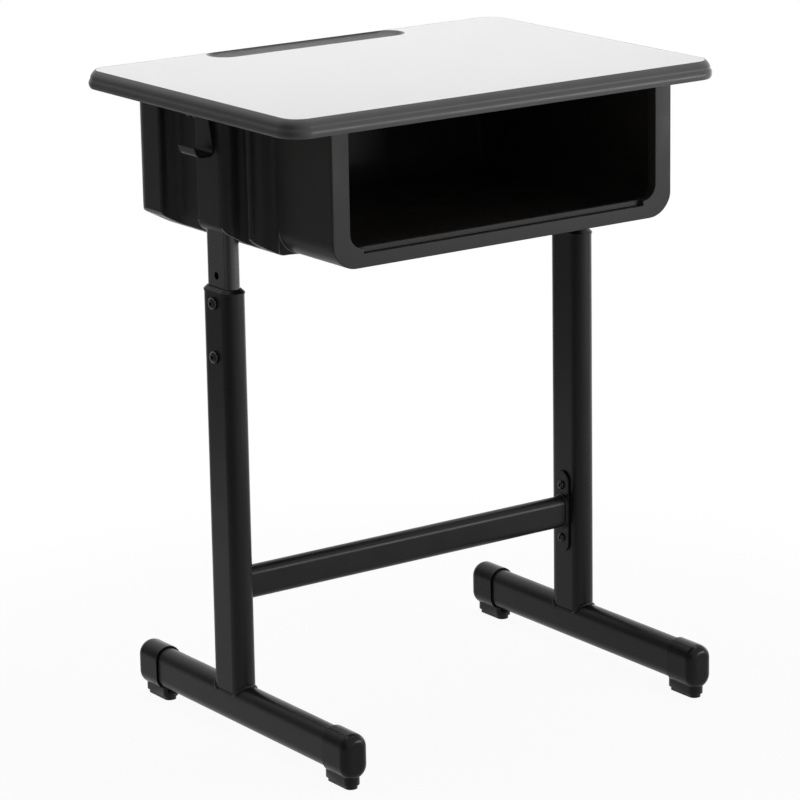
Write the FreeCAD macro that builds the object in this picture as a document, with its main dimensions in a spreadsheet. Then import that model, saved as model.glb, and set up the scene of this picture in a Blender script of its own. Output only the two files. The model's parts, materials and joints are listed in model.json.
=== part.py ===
import FreeCAD, Part
import os
import re
import Sketcher
from FreeCAD import Placement, Rotation, Vector
from math import cos, pi, radians, sin, tan

# Open-front student desk on a height-adjustable pedestal frame.
# Millimetres. The origin is on the floor, in the middle of the desk's footprint.
# +X is the sitter's right, -Y is the sitter's side, +Z is up.

os.makedirs("parts", exist_ok=True)
doc = FreeCAD.newDocument("StudentDesk")
sheet = doc.addObject("Spreadsheet::Sheet", "Sizes")

drivingSizes = [
    # writing top
    ("desk_height", 768, "floor to the writing surface"),
    ("top_wide", 606, "top, over its edging"),
    ("top_deep", 445, "top, over its edging"),
    ("top_corner", 30, "corner radius of the edging"),
    ("core_thick", 20, "board under the laminate"),
    ("laminate_thick", 1, "hard laminate sheet"),
    ("edge_wide", 9, "edging seen from above"),
    ("edge_face", 11, "upright face of the edging"),
    ("edge_lip", 1, "flat lip beside the laminate"),
    ("tongue_deep", 8, "edging tongue in the board's slot"),
    ("tongue_thick", 3, "edging tongue in the board's slot"),
    ("groove_long", 275, "pencil groove"),
    ("groove_wide", 43, "pencil groove"),
    ("groove_depth", 9, "pencil groove"),
    ("groove_back", 7, "back rim of the groove to the back of the top"),
    ("groove_rim", 2, "moulded rim round the groove"),
    ("groove_base", 3, "moulding under the groove"),
    # moulded book box
    ("box_inset", 63, "side of the front rim in from the side of the top"),
    ("box_front_in", 17.5, "front rim behind the front of the top"),
    ("box_deep", 377, "front rim to back wall, under the top"),
    ("box_high", 157, "outside, under the top"),
    ("box_wall", 5, "side and back walls"),
    ("box_floor", 5, "floor of the box"),
    ("rim_wide", 24, "front rim, seen from the front"),
    ("rim_lip", 22, "front lip below the opening"),
    ("rim_deep", 14, "front rim, front to back"),
    ("lip_front", 5, "front wall of the lip"),
    ("lip_step", 6, "front wall of the lip below the rib behind it"),
    ("lip_slot", 2.5, "slot between that wall and the rib"),
    ("lip_slot_deep", 6, "slot below the top of that wall"),
    ("rim_corner", 32, "outside radius of the lower corners"),
    ("rim_inside_corner", 18, "radius of the opening's lower corners"),
    ("back_lean", 12, "foot of the back wall ahead of its top"),
    ("flank_in", 4, "edge of the floor in from the side of the rim, under the ridges"),
    ("flank_high", 18, "slope under the ridges, from the floor up"),
    ("flank_round", 16, "both ends of that slope"),
    ("back_round", 40, "lower back edge"),
    ("back_corner", 28, "upright back corners"),
    ("ridge_out", 24, "upright ridges beyond the rim's side"),
    ("ridge_land", 6, "front ridge, front to back"),
    ("ridge_back_land", 60, "back ridge, front to back"),
    ("ridge_edge", 2.5, "small radius on the ridges"),
    ("scallop_flat", 1.5, "straight part of a ridge's hollow side"),
    ("valley_out", 3, "side wall between the ridges beyond the rim's side"),
    ("valley_long", 42.5, "valley between the front ridge and the leg sleeve"),
    ("valley_round", 6, "inner corners of the valleys"),
    ("sleeve_wall", 4, "moulded sleeve round the leg tube"),
    ("sleeve_gap", 0.5, "play of the leg tube in its sleeve"),
    ("sleeve_round", 14, "front of the sleeve"),
    ("tab_wide", 18, "screw tab, out from the wall"),
    ("tab_long", 26, "screw tab, along the wall"),
    ("tab_thick", 4, "screw tab"),
    ("tab_front_in", 40, "front side tabs behind the front rim's face"),
    ("tab_rear_in", 55, "back side tabs ahead of the back wall"),
    ("tab_apart", 240, "tabs on the back wall"),
    # legs
    ("leg_inset", 51, "leg axis in from the side of the top"),
    ("tube_shown", 56, "upper tube between the book box and the column"),
    ("column_wide", 30, "flat-oval lower column"),
    ("column_deep", 60, "flat-oval lower column"),
    ("column_wall", 1.5, "lower column"),
    ("cope_depth", 9, "saddle of the column over the foot"),
    ("upper_wall", 1.5, "upper tube"),
    ("tube_tail", 50, "upper tube below its lowest hole"),
    ("lock_below", 12, "upper lock bolt below the column's top"),
    ("bolt_stop", 0.7, "upper tube clear of the nut plate"),
    ("hole_pitch", 31.75, "height step"),
    ("hole_size", 9, "height holes"),
    ("slide_gap", 0.3, "play of the sliding tube in its bushes"),
    ("seat_gap", 0.1, "play of parts that are pressed or screwed home"),
    ("collar_below", 13.5, "collar bush below the nut plate"),
    ("collar_rim", 2, "upright edge of the collar's flange"),
    ("collar_slope", 4, "sloped top of the collar's flange"),
    ("collar_over", 0.8, "flange beyond the column"),
    ("guide_high", 25, "shoe on the lower end of the upper tube"),
    ("guide_base", 3, "floor of that shoe"),
    ("weld_plate_wide", 36, "plate on top of the upper tube"),
    ("weld_plate_long", 120, "plate on top of the upper tube"),
    ("weld_plate_thick", 3, "plate on top of the upper tube"),
    ("weld_plate_in", 8, "plate's middle inboard of the tube"),
    ("plate_screw_end", 14, "screws in from the plate's ends"),
    ("plate_screw_side", 8, "screws in from the plate's sides"),
    # lock bolts and their nut plates
    ("bolt_size", 8, "lock bolt thread"),
    ("bolt_head", 15, "lock bolt head"),
    ("bolt_head_high", 4.5, "lock bolt head"),
    ("bolt_socket", 5, "hexagon socket across its corners"),
    ("bolt_socket_deep", 2.6, "hexagon socket"),
    ("nut_plate_wide", 14, "nut plate inside the column"),
    ("nut_plate_thick", 2.8, "nut plate inside the column"),
    ("nut_plate_over", 11, "nut plate beyond its bolts"),
    # feet
    ("foot_front", 250, "leg axis to the front end of the foot"),
    ("foot_back", 195, "leg axis to the back end of the foot"),
    ("foot_high", 50, "flat-oval foot tube"),
    ("foot_wall", 1.5, "foot tube"),
    ("foot_clear", 14, "floor to the foot tube"),
    ("cap_wall", 2.5, "end cap sleeve"),
    ("cap_long", 45, "end cap"),
    ("cap_end", 8, "closed end of the cap"),
    ("cap_round", 11, "outer edge of the cap's end"),
    ("pad_wide", 20, "floor pad under the cap"),
    ("pad_long", 52, "floor pad under the cap"),
    ("pad_inset", 4, "pad behind the end of the cap"),
    ("pad_corner", 9.5, "corners of the pad"),
    ("glide_in", 2.5, "lower step of the pad, in all round"),
    ("glide_high", 5, "lower step of the pad"),
    ("pad_sink", 4.5, "pad run up into the cap's sleeve"),
    # crossbar
    ("bar_deep", 20, "flat-oval crossbar"),
    ("bar_high", 40, "flat-oval crossbar"),
    ("bar_wall", 1.5, "crossbar"),
    ("bar_height", 181, "crossbar axis above the floor"),
    ("bar_plate_wide", 26, "end plate"),
    ("bar_plate_thick", 3, "end plate"),
    ("bar_bolt_clear", 14, "end plate bolts beyond the crossbar"),
    ("bar_plate_over", 18, "end plate beyond its bolts"),
    ("stud_size", 6, "crossbar bolt thread"),
    ("stud_head", 11, "crossbar bolt head"),
    ("stud_head_high", 3.3, "crossbar bolt head"),
    ("stud_socket", 4, "hexagon socket across its corners"),
    ("stud_socket_deep", 2, "hexagon socket"),
    ("stud_long", 14, "crossbar bolt under its head"),
    ("insert_size", 9, "rivet nut body"),
    ("insert_long", 10, "rivet nut body"),
    ("insert_rim", 12, "rivet nut collar, inside the column"),
    ("insert_rim_thick", 1.2, "rivet nut collar"),
    # wood screws
    ("screw_size", 4.5, "wood screw"),
    ("screw_head", 9, "wood screw"),
    ("screw_head_high", 3, "wood screw"),
    ("screw_bite", 11, "wood screw in the board"),
    ("screw_slot", 3.6, "hexagon socket across its corners"),
    ("screw_slot_deep", 1.4, "hexagon socket"),
    # bag hooks
    ("hook_wide", 26, "bag hook at its top"),
    ("hook_spread", 34, "bag hook at its foot"),
    ("hook_thick", 3, "bag hook strip"),
    ("hook_inset", 9, "outer end of the hook's flange in from the side of the top"),
    ("hook_clear", 6, "strap clear of the leg sleeve, at its top"),
    ("hook_bend", 5, "bends of the strip"),
    ("hook_drop", 36, "straight part of the strap"),
    ("hook_tray", 9, "floor of the hook"),
    ("hook_scoop", 7, "bends of the scoop"),
    ("hook_tip", 7, "upturned tip"),
    ("hook_screws_apart", 14, "screws of one hook"),
    ("hook_screw_bite", 7, "hook screw in the board, short of the edging's tongue"),
    # drafting
    ("overrun", 5, "cutting shapes beyond what they cut"),
]
hookLeanDegrees = 4
hookTipTurnDegrees = 70
headDomeShare = 0.62
heightHoles = 6
coincident = 1e-6

for row, (alias, value, note) in enumerate(drivingSizes, 1):
    sheet.set("A%d" % row, alias)
    sheet.set("B%d" % row, str(value))
    sheet.setAlias("B%d" % row, alias)
    sheet.set("C%d" % row, note)

# sizes that follow from the driving ones
derivedSizes = [
    # writing top
    ("top_thick", "core_thick + laminate_thick"),
    ("underside", "desk_height - top_thick"),
    ("field_wide", "top_wide - 2 * edge_wide"),
    ("field_deep", "top_deep - 2 * edge_wide"),
    ("field_corner", "top_corner - edge_wide"),
    ("groove_middle", "top_deep / 2 - groove_back - groove_wide / 2"),
    ("cove_radius", "((groove_wide / 2) ^ 2 + groove_depth ^ 2) / (2 * groove_depth)"),
    ("cove_end", "(groove_long - groove_wide) / 2"),
    ("trough_thick", "groove_depth + groove_base"),
    # tubes and what stands round them; the legs stand under the middle of the top,
    # as far back as puts the origin under the middle of the whole desk
    ("leg_offset", "top_wide / 2 - leg_inset"),
    ("leg_place", "(foot_front - top_deep / 2) / 2"),
    ("upper_wide", "column_wide - 2 * column_wall - 2 * nut_plate_thick - 2 * bolt_stop"),
    ("upper_deep", "column_deep - column_wide + upper_wide"),
    ("sleeve_out", "leg_offset + upper_wide / 2 + sleeve_gap + sleeve_wall"),
    ("sleeve_half", "upper_deep / 2 + sleeve_gap + sleeve_wall"),
    # book box, with its front and back measured from the leg axis
    ("box_side", "top_wide / 2 - box_inset"),
    ("box_front", "top_deep / 2 - box_front_in"),
    ("box_back", "box_deep - box_front"),
    ("box_low", "underside - box_high"),
    ("ridge_front", "sleeve_half + valley_long + ridge_land"),
    ("ridge_back", "box_back - ridge_back_land"),
    ("tab_side", "box_side - box_wall / 2 - tab_wide / 2"),
    ("tab_front", "box_front - tab_front_in"),
    ("tab_rear", "box_back - tab_rear_in"),
    ("tab_back", "box_back - box_wall / 2 - tab_wide / 2"),
    # heights on the leg
    ("column_top", "box_low - tube_shown"),
    ("column_foot", "foot_clear + foot_high - cope_depth"),
    ("lock_height", "column_top - lock_below"),
    ("lower_lock_height", "lock_height - 2 * hole_pitch"),
    ("hole_row", "hole_pitch * %d" % (heightHoles - 1)),
    ("upper_end", "lock_height + hole_pitch - hole_row - tube_tail"),
    ("collar_long", "lock_below + 2 * hole_pitch + nut_plate_over + collar_below"),
    ("plate_screws_apart", "weld_plate_long - 2 * plate_screw_end"),
    ("plate_screws_across", "weld_plate_wide - 2 * plate_screw_side"),
    # foot and crossbar
    ("foot_wide", "column_wide"),
    ("foot_long", "foot_front + foot_back - 2 * cap_end"),
    ("foot_middle", "leg_place + (foot_back - foot_front) / 2"),
    ("bar_bolts_apart", "bar_high + 2 * bar_bolt_clear"),
    ("bar_plate_high", "bar_bolts_apart + 2 * bar_plate_over"),
    ("bar_reach", "leg_offset - column_wide / 2 - bar_plate_thick"),
    # bag hooks
    ("hook_reach", "top_wide / 2 - hook_inset"),
    ("hook_flange", "hook_reach - sleeve_out - hook_clear - hook_thick / 2 - hook_bend"),
    ("hook_screw_place", "hook_reach - hook_flange / 2"),
]
holders = {alias: "Sizes" for alias, _, _ in drivingSizes}
holders.update({name: "Derived" for name, _ in derivedSizes})


def link(text):
    # turns "top_wide / 2" into an expression that reads the sheet or the derived sizes
    return re.sub(r"[a-z_]+", lambda m: holders[m[0]] + "." + m[0] if m[0] in holders else m[0], text)


derived = doc.addObject("App::VarSet", "Derived")
for name, text in derivedSizes:
    derived.addProperty("App::PropertyFloat", name)
    derived.setExpression(name, link(text))
doc.recompute()


def size(name):
    # the present value of one size, for shapes that are set by code
    return float(getattr(doc.getObject(holders[name]), name))


pieces = []


def keep(made, label):
    made.Label = label
    pieces.append(made)
    return made


def place(made, at, turn=None):
    # at holds one expression for each axis
    if turn is not None:
        made.Placement = Placement(Vector(), turn)
    for axis, text in zip("xyz", at):
        if text != "0":
            made.setExpression("Placement.Base." + axis, link(text))
    return made


noTurn = Rotation()
halfTurn = Rotation(Vector(0, 0, 1), 180)
upsideDown = Rotation(Vector(1, 0, 0), 180)
outward = {"left": Rotation(Vector(0, 1, 0), -90), "right": Rotation(Vector(0, 1, 0), 90)}
sideTurn = {"left": noTurn, "right": halfTurn}
sideSign = {"left": "-1", "right": "1"}


def body(label):
    return keep(doc.addObject("PartDesign::Body", label), label)


def sketch(host, name, role, lift="0"):
    # a sketch on one of the body's own planes, moved along that plane's normal
    made = host.newObject("Sketcher::SketchObject", host.Name + "_" + name)
    plane = next(f for f in host.Origin.OriginFeatures if f.Role == role)
    made.AttachmentSupport = [(plane, "")]
    made.MapMode = "FlatFace"
    if lift != "0":
        made.setExpression("AttachmentOffset.Base.z", link(lift))
    return made


def bind(sk, name, constraint, text):
    index = sk.addConstraint(constraint)
    sk.renameConstraint(index, name)
    sk.setExpression("Constraints." + name, link(text))


def flatOval(sk, name, wide, tall):
    # two half circles joined by straight sides, about the sketch's origin
    first = sk.GeometryCount
    radius, rise = 10.0, 15.0
    up, down, right, left = first, first + 1, first + 2, first + 3
    normal = Vector(0, 0, 1)
    sk.addGeometry(Part.ArcOfCircle(Part.Circle(Vector(0, rise, 0), normal, radius), 0, pi))
    sk.addGeometry(Part.ArcOfCircle(Part.Circle(Vector(0, -rise, 0), normal, radius), pi, 2 * pi))
    sk.addGeometry(Part.LineSegment(Vector(radius, -rise, 0), Vector(radius, rise, 0)))
    sk.addGeometry(Part.LineSegment(Vector(-radius, rise, 0), Vector(-radius, -rise, 0)))
    for a, b in ((right, up), (up, left), (left, down), (down, right)):
        sk.addConstraint(Sketcher.Constraint("Tangent", a, 2, b, 1))
    sk.addConstraint(Sketcher.Constraint("PointOnObject", up, 3, -2))
    sk.addConstraint(Sketcher.Constraint("Symmetric", up, 3, down, 3, -1, 1))
    sk.addConstraint(Sketcher.Constraint("Equal", up, down))
    bind(sk, name + "_round", Sketcher.Constraint("Radius", up, radius), "(%s) / 2" % wide)
    bind(sk, name + "_rise", Sketcher.Constraint("DistanceY", -1, 1, up, 3, rise),
         "((%s) - (%s)) / 2" % (tall, wide))


def roundedRectangle(sk, name, wide, deep, corner):
    # about the sketch's origin, drawn counter-clockwise from its lower side
    x, y, r = 50.0, 40.0, 10.0
    normal = Vector(0, 0, 1)
    first = sk.GeometryCount
    ends = [((r - x, -y), (x - r, -y)), ((x, r - y), (x, y - r)),
            ((x - r, y), (r - x, y)), ((-x, y - r), (-x, r - y))]
    middles = [(x - r, r - y), (x - r, y - r), (r - x, y - r), (r - x, r - y)]
    for n in range(4):
        start, stop = (Vector(*p, 0) for p in ends[n])
        sk.addGeometry(Part.LineSegment(start, stop))
        circle = Part.Circle(Vector(*middles[n], 0), normal, r)
        sk.addGeometry(Part.ArcOfCircle(circle, (n - 1) * pi / 2, n * pi / 2))
    for n in range(8):
        sk.addConstraint(Sketcher.Constraint("Tangent", first + n, 2, first + (n + 1) % 8, 1))
    for n, way in ((0, "Horizontal"), (2, "Vertical"), (4, "Horizontal"), (6, "Vertical")):
        sk.addConstraint(Sketcher.Constraint(way, first + n))
    for n in (3, 5, 7):
        sk.addConstraint(Sketcher.Constraint("Equal", first + 1, first + n))
    sk.addConstraint(Sketcher.Constraint("Symmetric", first + 1, 3, first + 5, 3, -1, 1))
    bind(sk, name + "_corner", Sketcher.Constraint("Radius", first + 1, r), corner)
    bind(sk, name + "_wide", Sketcher.Constraint("DistanceX", first + 6, 1, first + 2, 1, 2 * x), wide)
    bind(sk, name + "_deep", Sketcher.Constraint("DistanceY", first, 1, first + 4, 1, 2 * y), deep)


def circle(sk, name, across, along="0", up="0"):
    index = sk.addGeometry(Part.Circle(Vector(1, 1, 0), Vector(0, 0, 1), 1))
    bind(sk, name + "_size", Sketcher.Constraint("Diameter", index, 2.0), across)
    for way, text in (("X", along), ("Y", up)):
        if text == "0":
            axis = -2 if way == "X" else -1
            sk.addConstraint(Sketcher.Constraint("PointOnObject", index, 3, axis))
        else:
            bind(sk, name + way, Sketcher.Constraint("Distance" + way, -1, 1, index, 3, 1.0), text)


def pad(host, sk, long, both=False, back=False):
    made = host.newObject("PartDesign::Pad", sk.Name + "_pad")
    made.Profile = sk
    made.SideType = "Symmetric" if both else "One side"
    made.Reversed = back
    made.setExpression("Length", link(long))
    doc.recompute()
    return made


def pocket(host, sk, long=None, both=False, back=False):
    # cuts against the sketch's normal, through everything where no length is given
    before = host.Shape.Volume
    made = host.newObject("PartDesign::Pocket", sk.Name + "_cut")
    made.Profile = sk
    made.SideType = "Symmetric" if both else "One side"
    made.Reversed = back
    if long is None:
        made.Type = "ThroughAll"
    else:
        made.setExpression("Length", link(long))
    doc.recompute()
    if not host.Shape.Volume < before:
        raise RuntimeError(made.Name + " cuts nothing")
    return made


def loft(host, low, high):
    made = host.newObject("PartDesign::AdditiveLoft", high.Name + "_loft")
    made.Profile = low
    made.Sections = [high]
    made.Ruled = True
    doc.recompute()
    return made


def solid(kind, name, turn=None, at=("0", "0", "0"), **sizes):
    # a Part primitive whose sizes are expressions
    made = doc.addObject("Part::" + kind, name)
    for key, text in sizes.items():
        made.setExpression(key, link(text))
    return place(made, at, turn)


def join(kind, name, base, tool):
    made = doc.addObject("Part::" + kind, name)
    made.Base, made.Tool = base, tool
    return made


def fuse(name, shapes):
    made = doc.addObject("Part::MultiFuse", name)
    made.Shapes = shapes
    return made


def group(name, members):
    made = doc.addObject("Part::Compound", name)
    made.Links = members
    return made


def screw(name, kind, long):
    # domed head on +Z with a hexagon socket, shank on -Z, the head's underside at the origin
    shank = solid("Cylinder", name + "_shank", at=("0", "0", "-1 * (%s)" % long),
                  Radius=kind + "_size / 2", Height=long)
    head = solid("Cone", name + "_head", Radius1=kind + "_head / 2",
                 Radius2="%g * %s_head / 2" % (headDomeShare, kind), Height=kind + "_head_high")
    whole = join("Fuse", name + "_blank", head, shank)
    recess = kind + ("_slot" if kind == "screw" else "_socket")
    socket = solid("Prism", name + "_socket", at=("0", "0", "%s_head_high - %s_deep" % (kind, recess)),
                   Circumradius=recess + " / 2", Height=recess + "_deep + overrun")
    socket.Polygon = 6
    return join("Cut", name, whole, socket)


# Writing top

def edging():
    # moulded edging: an upright face, a bevel to the laminate and a tongue in the board's edge
    host = place(body("edging"), ("0", "leg_place", "underside"))
    low = sketch(host, "face", "XY_Plane")
    roundedRectangle(low, "face", "top_wide", "top_deep", "top_corner")
    pad(host, low, "edge_face")
    bevelLow = sketch(host, "bevelLow", "XY_Plane", "edge_face")
    roundedRectangle(bevelLow, "low", "top_wide", "top_deep", "top_corner")
    bevelHigh = sketch(host, "bevelHigh", "XY_Plane", "top_thick")
    inset = "(edge_wide - edge_lip)"
    roundedRectangle(bevelHigh, "high", "top_wide - 2 * " + inset, "top_deep - 2 * " + inset,
                     "top_corner - " + inset)
    loft(host, bevelLow, bevelHigh)
    field = sketch(host, "field", "XY_Plane")
    roundedRectangle(field, "field", "field_wide", "field_deep", "field_corner")
    pocket(host, field, back=True)
    tongue = sketch(host, "tongue", "XY_Plane", "(core_thick - tongue_thick) / 2")
    roundedRectangle(tongue, "outer", "field_wide", "field_deep", "field_corner")
    roundedRectangle(tongue, "inner", "field_wide - 2 * tongue_deep", "field_deep - 2 * tongue_deep",
                     "field_corner - tongue_deep")
    pad(host, tongue, "tongue_thick")
    trough = sketch(host, "trough", "XY_Plane", "top_thick")
    trough.setExpression("AttachmentOffset.Base.y", link("groove_middle"))
    trough.AttachmentOffset = Placement(trough.AttachmentOffset.Base, Rotation(Vector(0, 0, 1), 90))
    flatOval(trough, "trough", "groove_wide + 2 * groove_rim", "groove_long + 2 * groove_rim")
    pad(host, trough, "trough_thick", back=True)
    return host


def groovedEdging():
    # the pencil groove is a cove with round ends, moulded into the back of the edging
    plain = edging()
    pieces.remove(plain)
    plain.Label = "edging_plain"
    back, lift = "leg_place + groove_middle", "desk_height - groove_depth + cove_radius"
    cove = solid("Cylinder", "cove", Rotation(Vector(0, 1, 0), 90), ("-1 * cove_end", back, lift),
                 Radius="cove_radius", Height="2 * cove_end")
    ends = [solid("Sphere", "cove_end_%d" % n, None, (way + " * cove_end", back, lift), Radius="cove_radius")
            for n, way in enumerate(("-1", "1"))]
    keep(join("Cut", "edging_grooved", plain, fuse("cove_whole", [cove] + ends)), "edging")


def troughCut(name, depth):
    # room for the groove moulding, measured down from the writing surface
    host = place(doc.addObject("PartDesign::Body", name), ("0", "leg_place", "desk_height"))
    room = sketch(host, "room", "XY_Plane")
    room.setExpression("AttachmentOffset.Base.y", link("groove_middle"))
    room.AttachmentOffset = Placement(room.AttachmentOffset.Base, Rotation(Vector(0, 0, 1), 90))
    margin = " + 2 * groove_rim + 2 * seat_gap"
    flatOval(room, "room", "groove_wide" + margin, "groove_long" + margin)
    pad(host, room, "2 * (%s)" % depth, both=True)
    return host


def laminate():
    host = place(doc.addObject("PartDesign::Body", "laminate_plain"),
                 ("0", "leg_place", "desk_height - laminate_thick"))
    field = sketch(host, "field", "XY_Plane")
    roundedRectangle(field, "field", "field_wide", "field_deep", "field_corner")
    pad(host, field, "laminate_thick")
    keep(join("Cut", "laminate_cut", host, troughCut("laminate_trough", "trough_thick")), "laminate")


def coreBoard(pilots):
    # board with a slot all round for the edging's tongue, room for the groove and pilot holes
    host = place(doc.addObject("PartDesign::Body", "core_plain"), ("0", "leg_place", "underside"))
    field = sketch(host, "field", "XY_Plane")
    roundedRectangle(field, "field", "field_wide", "field_deep", "field_corner")
    pad(host, field, "core_thick")
    slot = sketch(host, "slot", "XY_Plane", "(core_thick - tongue_thick) / 2 - seat_gap")
    roundedRectangle(slot, "outer", "top_wide", "top_deep", "top_corner")
    shrink = " - 2 * tongue_deep - 2 * seat_gap"
    roundedRectangle(slot, "inner", "field_wide" + shrink, "field_deep" + shrink,
                     "field_corner - tongue_deep - seat_gap")
    pocket(host, slot, "tongue_thick + 2 * seat_gap", back=True)
    cutters = [troughCut("core_trough", "trough_thick + seat_gap")] + pilots
    keep(join("Cut", "core_cut", host, fuse("core_cutters", cutters)), "core_board")


def pilot(name, x, y, bite):
    return solid("Cylinder", name, None, (x, y, "underside - overrun"),
                 Radius="screw_size / 2 + seat_gap", Height=bite + " + overrun + seat_gap")


# Moulded book box

def rounded(corners):
    # closed face through (x, y, radius) corners, each corner rounded by an arc
    edges = []
    last = None
    first = None
    count = len(corners)
    for n in range(count):
        x, y, r = corners[n]
        here = Vector(x, y, 0)
        back = (Vector(corners[n - 1][0], corners[n - 1][1], 0) - here).normalize()
        ahead = (Vector(corners[(n + 1) % count][0], corners[(n + 1) % count][1], 0) - here).normalize()
        start, stop = here, here
        arc = None
        if r > 0:
            half = back.getAngle(ahead) / 2
            start = here + back * (r / tan(half))
            stop = here + ahead * (r / tan(half))
            bisector = (back + ahead).normalize()
            middle = here + bisector * (r / sin(half) - r)
            arc = Part.Arc(start, middle, stop).toShape()
        if last is None:
            first = start
        elif not last.isEqual(start, coincident):
            edges.append(Part.makeLine(last, start))
        if arc is not None:
            edges.append(arc)
        last = stop
    if not last.isEqual(first, coincident):
        edges.append(Part.makeLine(last, first))
    return Part.Face(Part.Wire(edges))


def mirroredOutline(half):
    # half holds the right side from front to back
    return half + [(-x, y, r) for x, y, r in reversed(half)]


def bookBox():
    top, high, floor = size("underside"), size("box_high"), size("box_low")
    wall, over, corner = size("box_wall"), size("overrun"), size("rim_corner")
    side, front, back = size("box_side"), -size("box_front"), size("box_back")
    leg, sleeveOut, sleeveHalf = size("leg_offset"), size("sleeve_out"), size("sleeve_half")
    ridge, valley = side + size("ridge_out"), side + size("valley_out")
    ridgeFront, ridgeBack = -size("ridge_front"), size("ridge_back")
    landEnd = ridgeFront + size("ridge_land")
    edge, bend = size("ridge_edge"), size("valley_round")
    straight = edge + size("scallop_flat")
    frontScallop, backScallop = ridge - side - straight, ridge - valley - straight

    plan = rounded(mirroredOutline([
        (side, front, edge),
        (side, ridgeFront, frontScallop),
        (ridge, ridgeFront, edge),
        (ridge, landEnd, edge),
        (valley, landEnd, bend),
        (valley, -sleeveHalf, bend),
        (sleeveOut, -sleeveHalf, size("sleeve_round")),
        (sleeveOut, sleeveHalf, edge),
        (valley, sleeveHalf, bend),
        (valley, ridgeBack, backScallop),
        (ridge, ridgeBack, edge),
        (ridge, back, size("back_corner")),
    ]))
    outside = plan.extrude(Vector(0, 0, high))
    outside.translate(Vector(0, 0, floor))

    def trough(flank, start, stop):
        # section open upwards, run from front to back; flank holds its right side from the floor up
        section = rounded(mirroredOutline(flank + [(flank[-1][0], top + over, 0)]))
        section.rotate(Vector(), Vector(1, 0, 0), 90)
        made = section.extrude(Vector(0, stop - start, 0))
        made.translate(Vector(0, start, 0))
        return made

    def lengthwise(half, low, start, stop, radius):
        # the section from front to back, with a leaning back and its round lower edge, run from side to side
        slope = size("back_lean") / high
        section = rounded([(start, low, 0), (stop - slope * (top - low), low, radius),
                           (stop + slope * over, top + over, 0), (start, top + over, 0)])
        section.rotate(Vector(), Vector(1, 0, 0), 90)
        section.rotate(Vector(), Vector(0, 0, 1), 90)
        made = section.extrude(Vector(2 * half, 0, 0))
        made.translate(Vector(-half, 0, 0))
        return made

    wide = max(ridge, sleeveOut)
    hollowStart = ridgeFront - frontScallop
    ends = size("flank_round")
    slope = [(side - size("flank_in"), floor, ends), (wide, floor + size("flank_high"), ends)]
    shell = trough([(side, floor, corner)], front, back).fuse(trough(slope, hollowStart, back))
    outside = outside.common(shell).common(lengthwise(wide, floor, front, back, size("back_round")))

    inside = side - wall
    low = floor + size("box_floor")
    rimBack = front + size("rim_deep")
    cavity = trough([(inside, low, corner - wall)], rimBack, back - wall)
    cavityPlan = rounded([(inside, rimBack, 0), (inside, back - wall, size("back_corner") - wall),
                          (-inside, back - wall, size("back_corner") - wall), (-inside, rimBack, 0)])
    cavityPlan = cavityPlan.extrude(Vector(0, 0, high + over))
    cavityPlan.translate(Vector(0, 0, floor))
    cavity = cavity.common(cavityPlan)
    cavity = cavity.common(lengthwise(inside, low, rimBack, back - wall, size("back_round") - wall))
    mouth = trough([(side - size("rim_wide"), floor + size("rim_lip"), size("rim_inside_corner"))],
                   front - over, rimBack + over)
    made = outside.cut(cavity).cut(mouth)
    run = side - size("rim_wide") - size("rim_inside_corner")
    wallTop = floor + size("rim_lip") - size("lip_step")
    slotEnd = size("lip_front") + size("lip_slot")
    step = Part.makeBox(2 * run, slotEnd + over, size("lip_step") + over, Vector(-run, front - over, wallTop))
    slot = Part.makeBox(2 * run, size("lip_slot"), size("lip_slot_deep") + over,
                        Vector(-run, front + size("lip_front"), wallTop - size("lip_slot_deep")))
    made = made.cut([step, slot])

    thick, gap = size("tab_thick"), size("sleeve_gap")
    seats = []
    for x, y, reach, span in tabPlaces():
        lug = Part.makeBox(reach, span, thick, Vector(x - reach / 2, y - span / 2, top - thick))
        seats.append((lug, Vector(x, y, top - thick - over)))
    made = made.fuse([lug for lug, _ in seats])
    bore = size("screw_size") / 2 + size("seat_gap")
    holes = [Part.makeCylinder(bore, thick + 2 * over, spot) for _, spot in seats]
    for sign in (-1, 1):
        half, long = size("upper_wide") / 2 + gap, size("upper_deep") / 2 + gap
        socket = rounded([(sign * leg + dx, dy, half) for dx, dy in
                          ((half, -long), (half, long), (-half, long), (-half, -long))])
        socket = socket.extrude(Vector(0, 0, high + 2 * over))
        socket.translate(Vector(0, 0, floor - over))
        holes.append(socket)
        long, across = size("weld_plate_long") + 2 * gap, size("weld_plate_wide") + 2 * gap
        depth = size("weld_plate_thick") + size("screw_head_high") + gap
        corner = Vector(sign * (leg - size("weld_plate_in")) - across / 2, -long / 2, top - depth)
        holes.append(Part.makeBox(across, long, depth + over, corner))
    return made.cut(holes).removeSplitter()


def tabPlaces():
    # middle of each screw tab and its spread in x and y
    reach, span = size("tab_wide"), size("tab_long")
    places = [(sign * size("tab_side"), y, reach, span)
              for y in (-size("tab_front"), size("tab_rear")) for sign in (-1, 1)]
    return places + [(sign * size("tab_apart") / 2, size("tab_back"), span, reach) for sign in (-1, 1)]


# Legs

lockHeights = ("lock_height", "lower_lock_height")
barBolts = ("bar_height + bar_bolts_apart / 2", "bar_height - bar_bolts_apart / 2")


def legPlace(side):
    return (sideSign[side] + " * leg_offset", "leg_place", "0")


def tube(label, side, wide, deep, wall, low, high):
    # upright flat-oval tube, built for the left leg and turned about for the right one
    host = place(body(label), legPlace(side), sideTurn[side])
    ring = sketch(host, "ring", "XY_Plane", low)
    flatOval(ring, "outer", wide, deep)
    flatOval(ring, "inner", "%s - 2 * %s" % (wide, wall), "%s - 2 * %s" % (deep, wall))
    pad(host, ring, "%s - (%s)" % (high, low))
    return host


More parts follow.
